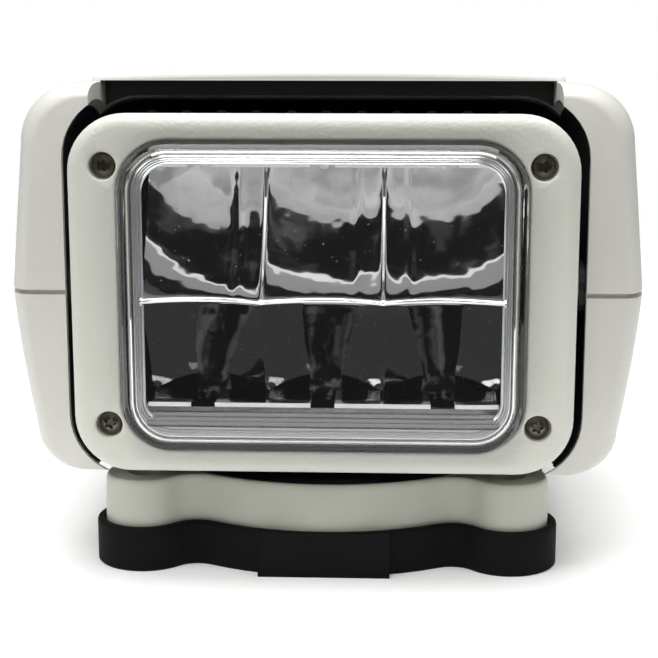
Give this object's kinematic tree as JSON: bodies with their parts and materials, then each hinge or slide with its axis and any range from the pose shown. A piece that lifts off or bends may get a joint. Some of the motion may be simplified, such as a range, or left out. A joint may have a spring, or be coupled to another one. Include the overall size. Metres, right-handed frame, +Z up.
{
  "type": "marine searchlight",
  "caption": "Remote-controlled marine searchlight: a multi-cell LED head tilts inside a hooded yoke that pans on a gasketed, lobed deck base.",
  "frame": {"origin": "on the pan axis, in the face of the gasket that rests on the deck, which is also the middle of the bounding box's floor", "axes": "+Z up along the pan axis; the lamp faces -Y; +X is on the right as the lamp is seen from the front"},
  "size_m": [0.2048, 0.185, 0.1619],
  "materials": {
    "moulded_white": "satin, fine moulded grain, UV-stable",
    "coated_casting": "black anodised die-cast aluminium",
    "gasket_rubber": "matt",
    "moulded_black": "satin",
    "stainless_steel": "plain",
    "dark_screw": "dark bronze passivated",
    "cast_aluminium": "as cast",
    "bearing_bronze": "turned",
    "gear_brass": "machined",
    "gear_nylon": "natural nylon",
    "bush_grey": "satin",
    "reflector_chrome": "vacuum-metallised plastic",
    "clear_lens": "clear, polished, hard-coated",
    "circuit_board": "solder resist",
    "led_phosphor": "silicone dome"
  },
  "bodies": {
    "base": {"mounting_gasket": "gasket_rubber", "base_housing": "moulded_white", "base_plate": "cast_aluminium", "base_plate_screw_1": "stainless_steel", "base_plate_screw_2": "stainless_steel", "base_plate_screw_3": "stainless_steel", "base_plate_screw_4": "stainless_steel", "cable_gland": "moulded_black", "cable_gland_nut": "moulded_black", "pan_bush": "bearing_bronze", "pan_ring_gear": "gear_nylon", "slip_ring_stator": "gear_nylon", "pan_seal": "gasket_rubber"},
    "yoke": {"turntable": "moulded_black", "lower_shell": "moulded_white", "upper_shell": "moulded_white", "head_well_liner": "moulded_black", "tilt_bush_left": "bush_grey", "tilt_bush_right": "bush_grey", "shell_screw_1": "stainless_steel", "shell_screw_2": "stainless_steel", "shell_screw_3": "stainless_steel", "shell_screw_4": "stainless_steel", "pan_motor": "stainless_steel", "pan_motor_bracket": "stainless_steel", "slip_ring_rotor": "gear_nylon", "tilt_gear_plate": "stainless_steel", "tilt_motor": "stainless_steel", "control_board": "circuit_board"},
    "head": {"bezel": "moulded_white", "bezel_screw_1": "dark_screw", "bezel_screw_2": "dark_screw", "bezel_screw_3": "dark_screw", "bezel_screw_4": "dark_screw", "lens": "clear_lens", "lens_gasket": "gasket_rubber", "reflector_array": "reflector_chrome", "led_board_lower": "circuit_board", "led_board_upper": "circuit_board", "led_emitter_1": "led_phosphor", "led_emitter_2": "led_phosphor", "led_emitter_3": "led_phosphor", "led_emitter_4": "led_phosphor", "led_emitter_5": "led_phosphor", "led_emitter_6": "led_phosphor", "head_housing": "coated_casting", "axle_left": "stainless_steel", "axle_right": "stainless_steel", "tilt_sector": "gear_nylon"},
    "pan_gear": {"pan_pinion": "gear_brass"},
    "front_idler": {"tilt_idler_front": "gear_nylon"},
    "rear_idler": {"tilt_idler_rear": "gear_nylon"},
    "tilt_gear": {"tilt_pinion": "gear_nylon"}
  },
  "joints": [
    {"name": "pan_turn", "type": "hinge", "parent": "base", "child": "yoke", "pos_m": [0, 0, 0.02], "axis": [0, 0, 1], "continuous": true},
    {"name": "head_tilt", "type": "hinge", "parent": "yoke", "child": "head", "pos_m": [0, -0.059, 0.0935], "axis": [-1, 0, 0], "range_deg": [-20, 90]},
    {"name": "pan_pinion_turn", "type": "hinge", "parent": "yoke", "child": "pan_gear", "pos_m": [0, 0.045, 0.018], "axis": [0, 0, 1], "continuous": true},
    {"name": "tilt_idler_front_turn", "type": "hinge", "parent": "yoke", "child": "front_idler", "pos_m": [-0.0889, -0.027, 0.0935], "axis": [-1, 0, 0], "range_deg": [-55, 13]},
    {"name": "tilt_idler_rear_turn", "type": "hinge", "parent": "yoke", "child": "rear_idler", "pos_m": [-0.0889, 0.009, 0.0935], "axis": [-1, 0, 0], "range_deg": [-16, 69]},
    {"name": "tilt_pinion_turn", "type": "hinge", "parent": "yoke", "child": "tilt_gear", "pos_m": [-0.0889, 0.031, 0.0935], "axis": [-1, 0, 0], "range_deg": [-182, 42]}
  ],
  "couplings": [
    {"joint": "pan_pinion_turn", "follows": "pan_turn", "ratio": 4},
    {"joint": "tilt_idler_front_turn", "follows": "head_tilt", "ratio": -0.6},
    {"joint": "tilt_idler_rear_turn", "follows": "head_tilt", "ratio": 0.75},
    {"joint": "tilt_pinion_turn", "follows": "head_tilt", "ratio": -2}
  ]
}
